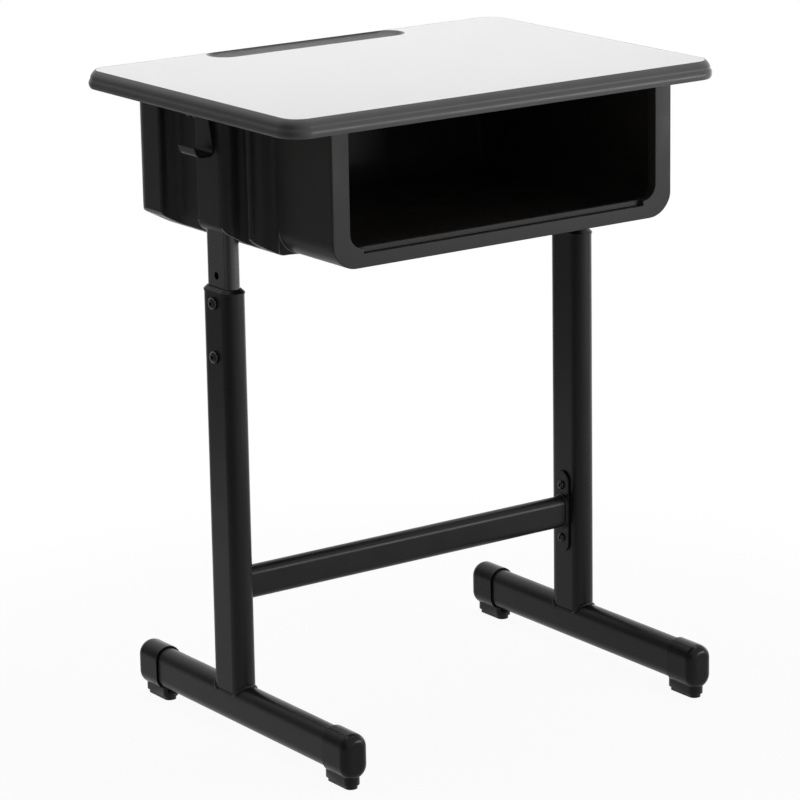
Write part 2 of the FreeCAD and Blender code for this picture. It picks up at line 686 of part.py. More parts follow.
def column(side):
    host = tube(side + "_column", side, "column_wide", "column_deep", "column_wall",
                "column_foot", "column_top")
    saddle = sketch(host, "saddle", "XZ_Plane")
    saddle.setExpression("AttachmentOffset.Base.y", link("foot_clear + foot_high / 2"))
    flatOval(saddle, "saddle", "foot_wide", "foot_high")
    pocket(host, saddle, "2 * column_deep", both=True)
    locks = sketch(host, "locks", "YZ_Plane")
    for n, height in enumerate(lockHeights):
        circle(locks, "lock%d" % n, "bolt_size + 2 * seat_gap", up=height)
    pocket(host, locks)
    nuts = sketch(host, "nuts", "YZ_Plane")
    for n, height in enumerate(barBolts):
        circle(nuts, "nut%d" % n, "insert_size + 2 * seat_gap", up=height)
    pocket(host, nuts, back=True)


def upperTube(side):
    host = tube(side + "_upper_tube", side, "upper_wide", "upper_deep", "upper_wall",
                "upper_end", "underside - weld_plate_thick")
    hole = sketch(host, "hole", "YZ_Plane")
    circle(hole, "hole", "hole_size", up="lock_height + hole_pitch")
    first = pocket(host, hole)
    row = host.newObject("PartDesign::LinearPattern", side + "_holes")
    row.Originals = [first]
    row.Direction = (next(f for f in host.Origin.OriginFeatures if f.Role == "Z_Axis"), [""])
    row.Reversed = True
    row.setExpression("Length", link("hole_row"))
    row.Occurrences = heightHoles
    host.Tip = row


def collar(side):
    # plastic bush in the mouth of the column, with a sloped flange and a window for the nut plate
    host = place(body(side + "_collar"), legPlace(side), sideTurn[side])
    rimLow = sketch(host, "rim", "XY_Plane", "column_top")
    flatOval(rimLow, "rim", "column_wide + 2 * collar_over", "column_deep + 2 * collar_over")
    pad(host, rimLow, "collar_rim")
    slopeLow = sketch(host, "slopeLow", "XY_Plane", "column_top + collar_rim")
    flatOval(slopeLow, "low", "column_wide + 2 * collar_over", "column_deep + 2 * collar_over")
    slopeHigh = sketch(host, "slopeHigh", "XY_Plane", "column_top + collar_rim + collar_slope")
    flatOval(slopeHigh, "high", "upper_wide + 2 * column_wall", "upper_deep + 2 * column_wall")
    loft(host, slopeLow, slopeHigh)
    bush = sketch(host, "bush", "XY_Plane", "column_top")
    bore = " - 2 * column_wall - 2 * seat_gap"
    flatOval(bush, "bush", "column_wide" + bore, "column_deep" + bore)
    pad(host, bush, "collar_long", back=True)
    way = sketch(host, "way", "XY_Plane", "column_top - collar_long - overrun")
    flatOval(way, "way", "upper_wide + 2 * slide_gap", "upper_deep + 2 * slide_gap")
    pocket(host, way, back=True)
    window = sketch(host, "window", "YZ_Plane")
    window.setExpression("AttachmentOffset.Base.y", link("lock_height - hole_pitch"))
    roundedRectangle(window, "window", "nut_plate_wide + 2 * slide_gap",
                     "2 * hole_pitch + 2 * nut_plate_over + 2 * slide_gap", "nut_plate_wide / 4")
    pocket(host, window, "column_wide / 2")


def nutPlate(side):
    # tapped strip inside the column's outer face
    host = place(body(side + "_nut_plate"), legPlace(side), sideTurn[side])
    strip = sketch(host, "strip", "YZ_Plane", "column_wall - column_wide / 2")
    strip.setExpression("AttachmentOffset.Base.y", link("lock_height - hole_pitch"))
    roundedRectangle(strip, "strip", "nut_plate_wide", "2 * hole_pitch + 2 * nut_plate_over",
                     "nut_plate_wide / 4")
    circle(strip, "upper", "bolt_size + 2 * seat_gap", up="hole_pitch")
    lower = sketch(host, "lower", "YZ_Plane")
    circle(lower, "lower", "bolt_size + 2 * seat_gap", up=lockHeights[1])
    pad(host, strip, "nut_plate_thick")
    pocket(host, lower)


def tubeGuide(side):
    # plastic shoe on the lower end of the upper tube, which runs in the column
    host = place(body(side + "_tube_guide"), legPlace(side), sideTurn[side])
    shoe = sketch(host, "shoe", "XY_Plane", "upper_end - guide_base")
    bore = " - 2 * column_wall - 2 * slide_gap"
    flatOval(shoe, "shoe", "column_wide" + bore, "column_deep" + bore)
    pad(host, shoe, "guide_high")
    seat = sketch(host, "seat", "XY_Plane", "upper_end")
    flatOval(seat, "seat", "upper_wide + 2 * seat_gap", "upper_deep + 2 * seat_gap")
    pocket(host, seat, back=True)


def weldPlate(side):
    # plate on top of the upper tube, which the top is screwed to
    x = sideSign[side] + " * (leg_offset - weld_plate_in)"
    host = place(body(side + "_weld_plate"), (x, "leg_place", "underside - weld_plate_thick"))
    flat = sketch(host, "flat", "XY_Plane")
    roundedRectangle(flat, "flat", "weld_plate_wide", "weld_plate_long", "weld_plate_wide / 6")
    for n, (dx, dy) in enumerate(plateScrews()):
        circle(flat, "hole%d" % n, "screw_size + 2 * seat_gap", dx, dy)
    pad(host, flat, "weld_plate_thick")


def plateScrews():
    across, apart = "plate_screws_across / 2", "plate_screws_apart / 2"
    return [(a + across, b + apart) for a in ("-1 * ", "1 * ") for b in ("-1 * ", "1 * ")]


def lockBolts(side):
    for name, height in zip(("upper", "lower"), lockHeights):
        label = "%s_%s_lock_bolt" % (side, name)
        made = screw(label, "bolt", "column_wall + nut_plate_thick")
        spot = (sideSign[side] + " * (leg_offset + column_wide / 2)", "leg_place", height)
        keep(place(made, spot, outward[side]), label)


# Feet

def foot(side):
    x = sideSign[side] + " * leg_offset"
    host = place(body(side + "_foot"), (x, "foot_middle", "foot_clear + foot_high / 2"))
    ring = sketch(host, "ring", "XZ_Plane")
    flatOval(ring, "outer", "foot_wide", "foot_high")
    flatOval(ring, "inner", "foot_wide - 2 * foot_wall", "foot_high - 2 * foot_wall")
    pad(host, ring, "foot_long", both=True)


def footCap(side, end):
    # sleeve over the end of the foot with a moulded floor pad, built for a front end
    host = body("%s_%s_cap" % (side, end))
    x = sideSign[side] + " * leg_offset"
    if end == "front":
        place(host, (x, "leg_place - foot_front", "0"))
    else:
        place(host, (x, "leg_place + foot_back", "0"), halfTurn)
    middle = link("foot_clear + foot_high / 2")
    shell = sketch(host, "shell", "XZ_Plane")
    shell.setExpression("AttachmentOffset.Base.y", middle)
    flatOval(shell, "shell", "foot_wide + 2 * cap_wall", "foot_high + 2 * cap_wall")
    sleeve = pad(host, shell, "cap_long", back=True)
    nose = ["Edge%d" % (n + 1) for n, e in enumerate(sleeve.Shape.Edges) if abs(e.BoundBox.YMax) < coincident]
    noseRound = host.newObject("PartDesign::Fillet", host.Name + "_nose")
    noseRound.Base = (sleeve, nose)
    noseRound.setExpression("Radius", link("cap_round"))
    doc.recompute()
    base = sketch(host, "base", "XY_Plane", "glide_high")
    glide = sketch(host, "glide", "XY_Plane")
    for sk in (base, glide):
        sk.setExpression("AttachmentOffset.Base.y", link("pad_inset + pad_long / 2"))
    roundedRectangle(base, "base", "pad_wide", "pad_long", "pad_corner")
    pad(host, base, "foot_clear - cap_wall + pad_sink - glide_high")
    roundedRectangle(glide, "glide", "pad_wide - 2 * glide_in", "pad_long - 2 * glide_in", "pad_corner - glide_in")
    pad(host, glide, "glide_high")
    seat = sketch(host, "seat", "XZ_Plane", "-1 * cap_end")
    seat.setExpression("AttachmentOffset.Base.y", middle)
    flatOval(seat, "seat", "foot_wide + 2 * seat_gap", "foot_high + 2 * seat_gap")
    pocket(host, seat)


# Crossbar

def crossbar():
    host = place(body("crossbar"), ("0", "leg_place", "bar_height"))
    ring = sketch(host, "ring", "YZ_Plane")
    flatOval(ring, "outer", "bar_deep", "bar_high")
    flatOval(ring, "inner", "bar_deep - 2 * bar_wall", "bar_high - 2 * bar_wall")
    pad(host, ring, "2 * bar_reach", both=True)


def barPlate(side):
    host = place(body(side + "_crossbar_plate"), (sideSign[side] + " * bar_reach", "leg_place", "bar_height"),
                 sideTurn["right" if side == "left" else "left"])
    flat = sketch(host, "flat", "YZ_Plane")
    flatOval(flat, "flat", "bar_plate_wide", "bar_plate_high")
    circle(flat, "upper", "stud_size + 2 * seat_gap", up="bar_bolts_apart / 2")
    pad(host, flat, "bar_plate_thick")
    low = sketch(host, "low", "YZ_Plane")
    low.setExpression("AttachmentOffset.Base.y", link("-1 * bar_bolts_apart / 2"))
    circle(low, "lower", "stud_size + 2 * seat_gap")
    pocket(host, low, back=True)


def barFasteners():
    bolts, nuts = [], []
    for side in ("left", "right"):
        away = outward["right" if side == "left" else "left"]
        for n, height in enumerate(barBolts):
            bolt = screw("%s_stud_%d" % (side, n), "stud", "stud_long")
            bolts.append(place(bolt, (sideSign[side] + " * bar_reach", "leg_place", height), away))
            name = "%s_insert_%d" % (side, n)
            barrel = solid("Cylinder", name + "_barrel", at=("0", "0", "-1 * insert_long"),
                           Radius="insert_size / 2", Height="insert_long")
            rim = solid("Cylinder", name + "_rim", at=("0", "0", "-1 * column_wall - insert_rim_thick"),
                        Radius="insert_rim / 2", Height="insert_rim_thick")
            thread = solid("Cylinder", name + "_thread", at=("0", "0", "-1 * insert_long - overrun"),
                           Radius="stud_size / 2 + seat_gap", Height="insert_long + 2 * overrun")
            nut = join("Cut", name, join("Fuse", name + "_blank", barrel, rim), thread)
            x = sideSign[side] + " * (leg_offset - column_wide / 2)"
            nuts.append(place(nut, (x, "leg_place", height), away))
    keep(group("bar_bolts", bolts), "crossbar_bolts")
    keep(group("bar_nuts", nuts), "crossbar_nuts")


# Bag hooks

def ribbon(start, heading, runs, thick):
    # bent strip in the x-z plane: each run is a straight length or a bend of a radius and a turn
    outer, inner = [], []
    at, way = Vector(*start), radians(heading)
    for length, radius, turn in runs:
        across = Vector(-sin(way), 0, cos(way)) * (thick / 2)
        if radius == 0:
            after = at + Vector(cos(way), 0, sin(way)) * length
            outer.append(Part.makeLine(at + across, after + across))
            inner.append(Part.makeLine(at - across, after - across))
        else:
            sign = 1 if turn > 0 else -1
            hub = at + Vector(-sin(way), 0, cos(way)) * (sign * radius)

            def spot(share, distance):
                angle = way + radians(turn) * share
                return hub - Vector(-sin(angle), 0, cos(angle)) * (sign * distance)

            for rows, distance in ((outer, radius - sign * thick / 2), (inner, radius + sign * thick / 2)):
                arc = Part.Arc(spot(0, distance), spot(0.5, distance), spot(1, distance))
                rows.append(arc.toShape())
            after = spot(1, radius)
            way += radians(turn)
        at = after
    closing = [Part.makeLine(outer[-1].lastVertex().Point, inner[-1].lastVertex().Point),
               Part.makeLine(inner[0].firstVertex().Point, outer[0].firstVertex().Point)]
    return Part.Face(Part.Wire(Part.__sortEdges__(outer + inner + closing)))


def hookStrip():
    # right-hand hook: flange under the top, leaning strap, scoop and upturned tip
    top = size("underside")
    thick, bend, scoop = size("hook_thick"), size("hook_bend"), size("hook_scoop")
    lean = hookLeanDegrees
    runs = [(size("hook_flange"), 0, 0), (0, bend, 90 - lean),
            (size("hook_drop"), 0, 0), (0, scoop, 90 + lean),
            (size("hook_tray"), 0, 0), (0, scoop, hookTipTurnDegrees),
            (size("hook_tip"), 0, 0)]
    face = ribbon((size("hook_reach"), 0, top - thick / 2), 180, runs, thick)
    wide, spread = size("hook_wide") / 2, size("hook_spread") / 2
    strip = face.extrude(Vector(0, 2 * spread, 0))
    strip.translate(Vector(0, -spread, 0))
    box = strip.BoundBox
    waist = scoop + thick
    right = [(spread, box.ZMin - waist, 0), (spread, box.ZMin + waist, 0),
             (wide, box.ZMax - waist, 0), (wide, box.ZMax + waist, 0)]
    outline = rounded(mirroredOutline(right))
    outline.rotate(Vector(), Vector(1, 0, 0), 90)
    outline.rotate(Vector(), Vector(0, 0, 1), 90)
    blank = outline.extrude(Vector(box.XMax + waist, 0, 0))
    strip = strip.common(blank)
    bore, apart = size("screw_size") / 2 + size("seat_gap"), size("hook_screws_apart")
    spots = [Vector(size("hook_screw_place"), sign * apart / 2, top - 2 * thick) for sign in (-1, 1)]
    return strip.cut([Part.makeCylinder(bore, 4 * thick, spot) for spot in spots])


def codeShape(label, shape, turn=noTurn):
    made = doc.addObject("Part::Feature", label + "_shape")
    made.Shape = shape
    made.Placement = Placement(Vector(0, size("leg_place"), 0), turn)
    return keep(made, label)


# The pieces

pilots = []
plateScrewsMade, boxScrews, hookScrews = [], [], []
for side in ("left", "right"):
    for n, (dx, dy) in enumerate(plateScrews()):
        x = sideSign[side] + " * (leg_offset - weld_plate_in) + " + dx
        y = "leg_place + " + dy
        made = screw("%s_plate_screw_%d" % (side, n), "screw", "weld_plate_thick + screw_bite")
        plateScrewsMade.append(place(made, (x, y, "underside - weld_plate_thick"), upsideDown))
        pilots.append(pilot("%s_plate_pilot_%d" % (side, n), x, y, "screw_bite"))
    for n, way in enumerate(("-1", "1")):
        x = sideSign[side] + " * hook_screw_place"
        y = "leg_place + %s * hook_screws_apart / 2" % way
        made = screw("%s_hook_screw_%d" % (side, n), "screw", "hook_thick + hook_screw_bite")
        hookScrews.append(place(made, (x, y, "underside - hook_thick"), upsideDown))
        pilots.append(pilot("%s_hook_pilot_%d" % (side, n), x, y, "hook_screw_bite"))
tabSpots = [(sign + " * tab_side", y) for y in ("-1 * tab_front", "tab_rear") for sign in ("-1", "1")]
tabSpots += [(sign + " * tab_apart / 2", "tab_back") for sign in ("-1", "1")]
for n, (x, y) in enumerate(tabSpots):
    made = screw("box_screw_%d" % n, "screw", "tab_thick + screw_bite")
    spot = (x, "leg_place + " + y, "underside - tab_thick")
    boxScrews.append(place(made, spot, upsideDown))
    pilots.append(pilot("box_pilot_%d" % n, x, "leg_place + " + y, "screw_bite"))

groovedEdging()
laminate()
coreBoard(pilots)
codeShape("book_box", bookBox())
keep(group("plate_screw_group", plateScrewsMade), "plate_screws")
keep(group("box_screw_group", boxScrews), "box_screws")
keep(group("hook_screw_group", hookScrews), "hook_screws")
codeShape("right_bag_hook", hookStrip())
codeShape("left_bag_hook", hookStrip(), halfTurn)
for side in ("left", "right"):
    column(side)
    collar(side)
    nutPlate(side)
    lockBolts(side)
    upperTube(side)
    tubeGuide(side)
    weldPlate(side)
    foot(side)
    footCap(side, "front")
    footCap(side, "back")
    barPlate(side)
crossbar()
barFasteners()

# Checks and files

doc.recompute()
failed = [o.Name for o in doc.Objects if {"Invalid", "Error"} & set(o.State)]
failed += [p.Label for p in pieces if p.Shape.isNull() or not p.Shape.isValid() or not p.Shape.Solids]
if failed:
    raise RuntimeError("not built: " + ", ".join(failed))
for piece in pieces:
    piece.Shape.exportStep(os.path.join("parts", piece.Label + ".step"))
    box = piece.Shape.BoundBox
    print("%-24s %2d solids %10.0f mm3  x %7.1f %7.1f  y %7.1f %7.1f  z %6.1f %6.1f" % (
        piece.Label, len(piece.Shape.Solids), piece.Shape.Volume,
        box.XMin, box.XMax, box.YMin, box.YMax, box.ZMin, box.ZMax))
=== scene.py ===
import bmesh
import bpy
import json
import math
from mathutils import Matrix, Vector

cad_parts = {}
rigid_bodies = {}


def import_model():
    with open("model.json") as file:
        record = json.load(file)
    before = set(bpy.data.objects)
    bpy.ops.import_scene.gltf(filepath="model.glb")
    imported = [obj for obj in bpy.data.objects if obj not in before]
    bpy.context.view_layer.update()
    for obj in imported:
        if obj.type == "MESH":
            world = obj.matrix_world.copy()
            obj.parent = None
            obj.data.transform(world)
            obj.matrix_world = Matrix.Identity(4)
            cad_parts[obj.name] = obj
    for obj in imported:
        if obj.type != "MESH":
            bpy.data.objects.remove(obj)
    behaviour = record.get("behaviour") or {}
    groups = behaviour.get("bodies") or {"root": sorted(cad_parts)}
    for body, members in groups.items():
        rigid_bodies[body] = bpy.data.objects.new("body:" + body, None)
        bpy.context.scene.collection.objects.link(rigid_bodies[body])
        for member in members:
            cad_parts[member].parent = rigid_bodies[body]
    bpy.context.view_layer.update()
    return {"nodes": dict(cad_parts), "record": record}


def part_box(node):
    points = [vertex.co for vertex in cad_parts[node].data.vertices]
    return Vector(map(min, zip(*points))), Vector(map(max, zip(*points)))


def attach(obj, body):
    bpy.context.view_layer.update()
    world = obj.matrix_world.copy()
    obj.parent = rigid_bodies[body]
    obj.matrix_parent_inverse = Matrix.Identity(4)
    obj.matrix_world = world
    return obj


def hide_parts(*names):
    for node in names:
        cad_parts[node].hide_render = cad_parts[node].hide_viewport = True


# Student desk with an open book box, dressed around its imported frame. Metres, +Z up, the sitter at -Y.

mm = 0.001

for leftover in list(bpy.data.objects):
    bpy.data.objects.remove(leftover)
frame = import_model()
cadNodes = frame["nodes"]
bodyOf = {node: body for body, group in frame["record"]["behaviour"]["bodies"].items() for node in group}
print("frame loaded:", len(cadNodes), "nodes")


def linearColour(hexText):
    channels = [int(hexText[i:i + 2], 16) / 255 for i in (1, 3, 5)]
    return [c / 12.92 if c <= 0.04045 else ((c + 0.055) / 1.055) ** 2.4 for c in channels] + [1.0]


def addNode(tree, kind, inputs=None, **settings):
    # one node with its settings; inputs maps a socket to a value or to another node's output
    # (a Mix node takes its numbers at 2 and 3, its colours at 6 and 7)
    made = tree.nodes.new(kind)
    for name, value in settings.items():
        setattr(made, name, value)
    for socket, value in (inputs or {}).items():
        if isinstance(value, bpy.types.NodeSocket):
            tree.links.new(value, made.inputs[socket])
        else:
            made.inputs[socket].default_value = value
    return made


def perMetre(sizeMm):
    # pattern scale on Object coordinates for a feature of this size
    return 1 / (sizeMm * mm)


def newMaterial(name):
    made = bpy.data.materials.new(name)
    made.use_nodes = True
    made.node_tree.nodes.clear()
    return made, made.node_tree


def link(name, data):
    made = bpy.data.objects.new(name, data)
    bpy.context.scene.collection.objects.link(made)
    return made


# Camera, at the photograph's viewing angle

view = {"azimuth": -35.203, "elevation": 14.913, "roll": -0.971,  # degrees
        "targetMm": (-14.68, 4.88, 367.19), "distanceMm": 4467.1,
        "focalPx": 3755.35, "framePx": 800,
        "clipEnd": 100}  # metres


def makeCamera():
    azimuth, elevation, roll = (math.radians(view[k]) for k in ("azimuth", "elevation", "roll"))
    back = Vector((math.sin(azimuth) * math.cos(elevation), -math.cos(azimuth) * math.cos(elevation),
                   math.sin(elevation)))
    right = Vector((math.cos(azimuth), math.sin(azimuth), 0))
    up = back.cross(right)
    right, up = (right * math.cos(roll) + up * math.sin(roll), up * math.cos(roll) - right * math.sin(roll))
    lens = bpy.data.cameras.new("photo_camera")
    lens.lens = view["focalPx"] / view["framePx"] * lens.sensor_width
    lens.clip_end = view["clipEnd"]
    made = link("photo_camera", lens)
    turn = Matrix((right, up, back)).transposed().to_4x4()
    place = Vector(view["targetMm"]) * mm + back * view["distanceMm"] * mm
    made.matrix_world = Matrix.Translation(place) @ turn
    bpy.context.scene.camera = made


# Pale floor, room and soft lamps

studio = {"floorHalf": 1.0, "floorDropMm": 0.4, "floorTone": "#F2F2F2", "seenShare": 0.94,
          # the floor melts into the pale room between these distances from its middle, in metres
          "fadeFrom": 0.5, "fadeTo": 0.95,
          "roomTone": "#FFFFFF", "roomLevel": 0.1,
          # what gloss meets: a bright room, and its unlit part to the left
          "brightLevel": 1.5, "darkLevel": 0.4,
          "darkSide": (-0.9, 0.2, -0.4), "darkFrom": -0.1, "darkTo": 0.6}
lamps = {
    # place, aim and size in metres, power in watts
    "front_key": {"place": (1.9, -2.5, 0.58), "aim": (0.0, 0.0, 0.5), "size": (1.8, 0.36), "watts": 48},
    "left_strip": {"place": (-2.6, 0.5, 0.4), "aim": (0.0, 0.0, 0.4), "size": (1.0, 0.7), "watts": 1.6},
    "top_box": {"place": (0.2, 0.5, 2.8), "aim": (0.0, 0.0, 0.6), "size": (2.4, 2.0), "watts": 48},
    "right_fill": {"place": (2.4, 0.8, 0.4), "aim": (0.0, 0.0, 0.4), "size": (1.4, 0.7), "watts": 8},
}


def makeFloor():
    # matt paint that keeps the desk's shadow, mixed with plain white where it is seen
    half = studio["floorHalf"]
    square = ((-half, -half), (half, -half), (half, half), (-half, half))
    mesh = bpy.data.meshes.new("pale_floor")
    mesh.from_pydata([(x, y, -studio["floorDropMm"] * mm) for x, y in square], [], [(0, 1, 2, 3)])
    floor = link("pale_floor", mesh)
    paint, tree = newMaterial("pale_floor_paint")
    path = addNode(tree, "ShaderNodeLightPath").outputs
    seen = addNode(tree, "ShaderNodeMath", {0: path["Is Camera Ray"], 1: path["Is Glossy Ray"]},
                   operation="MAXIMUM")
    seen = addNode(tree, "ShaderNodeMath", {0: seen.outputs[0], 1: path["Is Transmission Ray"]},
                   operation="MAXIMUM")
    where = addNode(tree, "ShaderNodeTexCoord").outputs["Object"]
    away = addNode(tree, "ShaderNodeVectorMath", {0: where}, operation="LENGTH")
    melt = addNode(tree, "ShaderNodeMapRange", {
        "Value": away.outputs["Value"], "From Min": studio["fadeFrom"], "From Max": studio["fadeTo"],
        "To Min": studio["seenShare"], "To Max": 1.0}, interpolation_type="SMOOTHSTEP")
    share = addNode(tree, "ShaderNodeMath", {0: seen.outputs[0], 1: melt.outputs[0]}, operation="MULTIPLY")
    matt = addNode(tree, "ShaderNodeBsdfDiffuse", {"Color": linearColour(studio["floorTone"])})
    plain = addNode(tree, "ShaderNodeEmission", {"Color": linearColour(studio["roomTone"]), "Strength": 1.0})
    mixed = addNode(tree, "ShaderNodeMixShader", {
        0: share.outputs[0], 1: matt.outputs[0], 2: plain.outputs[0]})
    addNode(tree, "ShaderNodeOutputMaterial", {"Surface": mixed.outputs[0]})
    mesh.materials.append(paint)


def makeRoom():
    # white to the camera, dim as a light, and lit unevenly where gloss meets it
    world = bpy.data.worlds.new("pale_room")
    world.use_nodes = True
    bpy.context.scene.world = world
    tree = world.node_tree
    tree.nodes.clear()
    path = addNode(tree, "ShaderNodeLightPath").outputs
    seen = addNode(tree, "ShaderNodeMath", {0: path["Is Camera Ray"], 1: path["Is Transmission Ray"]},
                   operation="MAXIMUM")
    where = addNode(tree, "ShaderNodeTexCoord").outputs["Generated"]
    facing = addNode(tree, "ShaderNodeVectorMath", {0: where, 1: Vector(studio["darkSide"]).normalized()},
                     operation="DOT_PRODUCT")
    room = addNode(tree, "ShaderNodeMapRange", {
        "Value": facing.outputs["Value"], "From Min": studio["darkFrom"], "From Max": studio["darkTo"],
        "To Min": studio["brightLevel"], "To Max": studio["darkLevel"]}, interpolation_type="SMOOTHSTEP")
    lit = addNode(tree, "ShaderNodeMix", {
        0: path["Is Glossy Ray"], 2: studio["roomLevel"], 3: room.outputs[0]})
    level = addNode(tree, "ShaderNodeMix", {0: seen.outputs[0], 2: lit.outputs[0], 3: 1.0})
    sky = addNode(tree, "ShaderNodeBackground", {
        "Color": linearColour(studio["roomTone"]), "Strength": level.outputs[0]})
    addNode(tree, "ShaderNodeOutputWorld", {"Surface": sky.outputs[0]})


def makeLamps():
    for name, lamp in lamps.items():
        data = bpy.data.lights.new(name, "AREA")
        data.shape = "RECTANGLE"
        data.size, data.size_y = lamp["size"]
        data.energy = lamp["watts"]
        made = link(name, data)
        turn = (Vector(lamp["aim"]) - Vector(lamp["place"])).to_track_quat("-Z", "Y")
        made.matrix_world = Matrix.Translation(lamp["place"]) @ turn.to_matrix().to_4x4()


bpy.context.scene.view_settings.view_transform = "Standard"
makeCamera()
makeFloor()
makeRoom()
makeLamps()
print("camera, floor and lamps set")


# Materials

skinNoise = {"patchDetail": 3.0, "grainDetail": 2.0, "grainRoughness": 0.55,
             # most values of the noise lie between these two, so the gloss uses all its swing
             "lowShare": 0.3, "highShare": 0.7}


def grained(name, look):
    # moulded or coated skin: two close tones in soft patches, a fine grain in the bump and an uneven gloss
    made, tree = newMaterial(name)
    where = addNode(tree, "ShaderNodeTexCoord").outputs["Object"]
    patches = addNode(tree, "ShaderNodeTexNoise", {
        "Vector": where, "Scale": perMetre(look["patchMm"]), "Detail": skinNoise["patchDetail"]})
    tones = addNode(tree, "ShaderNodeMix", {
        0: patches.outputs["Fac"], 6: linearColour(look["dark"]), 7: linearColour(look["light"])},
        data_type="RGBA")
    gloss = addNode(tree, "ShaderNodeMapRange", {
        "Value": patches.outputs["Fac"],
        "From Min": skinNoise["lowShare"], "From Max": skinNoise["highShare"],
        "To Min": look["rough"] - look["roughSwing"], "To Max": look["rough"] + look["roughSwing"]})
    grain = addNode(tree, "ShaderNodeTexNoise", {
        "Vector": where, "Scale": perMetre(look["grainMm"]), "Detail": skinNoise["grainDetail"],
        "Roughness": skinNoise["grainRoughness"]})
    bump = addNode(tree, "ShaderNodeBump", {
        "Height": grain.outputs["Fac"], "Strength": look["grainStrength"],
        "Distance": look["grainDeepMm"] * mm})
    shader = addNode(tree, "ShaderNodeBsdfPrincipled", {
        "Base Color": tones.outputs[2], "Roughness": gloss.outputs[0], "Normal": bump.outputs[0],
        "IOR": look["ior"], "Metallic": look.get("metallic", 0.0),
        "Specular IOR Level": look.get("specular", 0.5)})
    addNode(tree, "ShaderNodeOutputMaterial", {"Surface": shader.outputs[0]})
    return made


# the grain of moulded and pressed skins is really about 0.2 mm; it is drawn coarser, so that it shows
finishes = {
    # high-pressure laminate, pressed against a fine matt plate: pale grey, flat, with a soft sheen
    "laminate": grained("pressed_laminate", {
        "dark": "#E0E0E0", "light": "#E6E6E6", "patchMm": 60, "rough": 0.42, "roughSwing": 0.04,
        "grainMm": 0.9, "grainStrength": 0.12, "grainDeepMm": 0.02, "ior": 1.5, "specular": 0.2}),
    # polyurethane moulded round the board: grey, a fine matt grain that softens every highlight
    "edging": grained("moulded_polyurethane", {
        "dark": "#4C4C4C", "light": "#545454", "patchMm": 25, "rough": 0.4, "roughSwing": 0.05,
        "grainMm": 0.7, "grainStrength": 0.25, "grainDeepMm": 0.04, "ior": 1.5, "specular": 0.25}),
    # polypropylene, injection moulded in a grained tool: dark grey, matt, a little waxy
    "box": grained("moulded_polypropylene", {
        "dark": "#383838", "light": "#424242", "patchMm": 40, "rough": 0.4, "roughSwing": 0.06,
        "grainMm": 0.8, "grainStrength": 0.3, "grainDeepMm": 0.05, "ior": 1.49, "specular": 0.08}),
    # the same plastic, paler, for the rounded ridge edges: a painted highlight
    "boxRidgeHighlight": grained("polypropylene_painted_ridge_highlight", {
        "dark": "#747474", "light": "#8C8C8C", "patchMm": 30, "rough": 0.36, "roughSwing": 0.06,
        "grainMm": 0.8, "grainStrength": 0.2, "grainDeepMm": 0.04, "ior": 1.49, "specular": 0.3}),
    # steel tube under baked powder: black satin with the slight orange peel of the coat
    "frame": grained("black_powder_coat", {
        "dark": "#1C1C1C", "light": "#222222", "patchMm": 50, "rough": 0.32, "roughSwing": 0.05,
        "grainMm": 1.6, "grainStrength": 0.2, "grainDeepMm": 0.03, "ior": 1.5, "specular": 0.13}),
    # the same powder on the sliding tubes, glossier, and a little paler: painted light that makes them read
    # brighter than the frame
    "tube": grained("powder_coat_painted_paler", {
        "dark": "#222222", "light": "#2A2A2A", "patchMm": 50, "rough": 0.28, "roughSwing": 0.05,
        "grainMm": 1.6, "grainStrength": 0.15, "grainDeepMm": 0.03, "ior": 1.5, "specular": 0.45}),
    # polypropylene of the foot caps, moulded in a polished tool: black and glossier than the box
    "cap": grained("polished_polypropylene", {
        "dark": "#161616", "light": "#1C1C1C", "patchMm": 18, "rough": 0.26, "roughSwing": 0.05,
        "grainMm": 1.2, "grainStrength": 0.12, "grainDeepMm": 0.03, "ior": 1.49, "specular": 0.12}),
    # moulded nylon of the bushes: black, matt, slightly uneven in tone
    "bush": grained("black_nylon", {
        "dark": "#101010", "light": "#171717", "patchMm": 12, "rough": 0.4, "roughSwing": 0.06,
        "grainMm": 0.9, "grainStrength": 0.15, "grainDeepMm": 0.03, "ior": 1.53, "specular": 0.15}),
    # black oxide on steel: dark, metallic, oily
    "bolt": grained("black_oxide_steel", {
        "dark": "#161617", "light": "#1E1E20", "patchMm": 5, "rough": 0.24, "roughSwing": 0.05,
        "grainMm": 0.5, "grainStrength": 0.1, "grainDeepMm": 0.02, "ior": 1.5, "metallic": 0.6}),
    # zinc plate on the nuts inside the tubes: pale, clouded metal
    "zinc": grained("zinc_plate", {
        "dark": "#A9ADB0", "light": "#C4C8CB", "patchMm": 4, "rough": 0.34, "roughSwing": 0.08,
        "grainMm": 0.5, "grainStrength": 0.1, "grainDeepMm": 0.02, "ior": 1.5, "metallic": 1.0}),
    # chipboard under the laminate: coarse pale and brown flakes, raw
    "board": grained("raw_chipboard", {
        "dark": "#7A5C3C", "light": "#C3A27A", "patchMm": 5, "rough": 0.8, "roughSwing": 0.05,
        "grainMm": 2.0, "grainStrength": 0.5, "grainDeepMm": 0.2, "ior": 1.45}),
}
print("materials made:", len(finishes))


# Pieces that follow their CAD node, with rounded edges where the real ones have them

bareSkin = {
    "mergeMm": 0.002,    # points closer than this become one
    "flatDegrees": 0.5,  # faces that turn by less are one flat
    "edgeDegrees": 30,   # edges that turn by more are rounded
    "keenDegrees": 120,  # but not beside a knife edge, which turns by more than this
    "edgeSlack": 5,      # shading breaks where an edge still turns by this much more than edgeDegrees
    "segments": 3,
}
ridgeHighlightSpan = {"frontMm": -170, "backMm": 185}  # the stretch along Y where the box's ridges get the painted highlight
